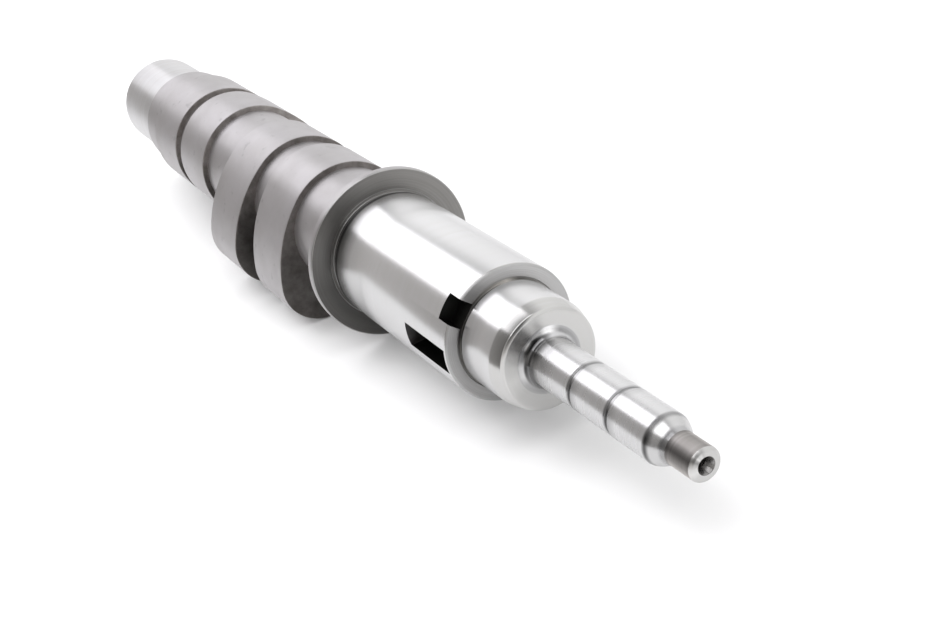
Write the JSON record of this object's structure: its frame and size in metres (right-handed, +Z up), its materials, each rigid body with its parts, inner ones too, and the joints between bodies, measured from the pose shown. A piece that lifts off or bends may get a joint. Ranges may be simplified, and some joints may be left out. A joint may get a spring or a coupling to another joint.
{
  "type": "camshaft",
  "caption": "Steel camshaft with cam lobes on a thick core, a ground front journal with a key pocket, a thin thrust flange, a slim grooved nose with a stub end and a plain rear journal.",
  "frame": {"origin": "middle of the bounding box's bottom face, on the surface that the camshaft lies on", "axes": "+X along the shaft towards the stub end, within 1.1 degrees, because the shaft lies on its flange and two lobe noses; +Z up"},
  "size_m": [0.3266, 0.0522, 0.0472],
  "materials": {
    "steel": "ground journals and nose, dull phosphated lobes, core and flange"
  },
  "bodies": {
    "root": {"camshaft": "steel"}
  },
  "joints": []
}
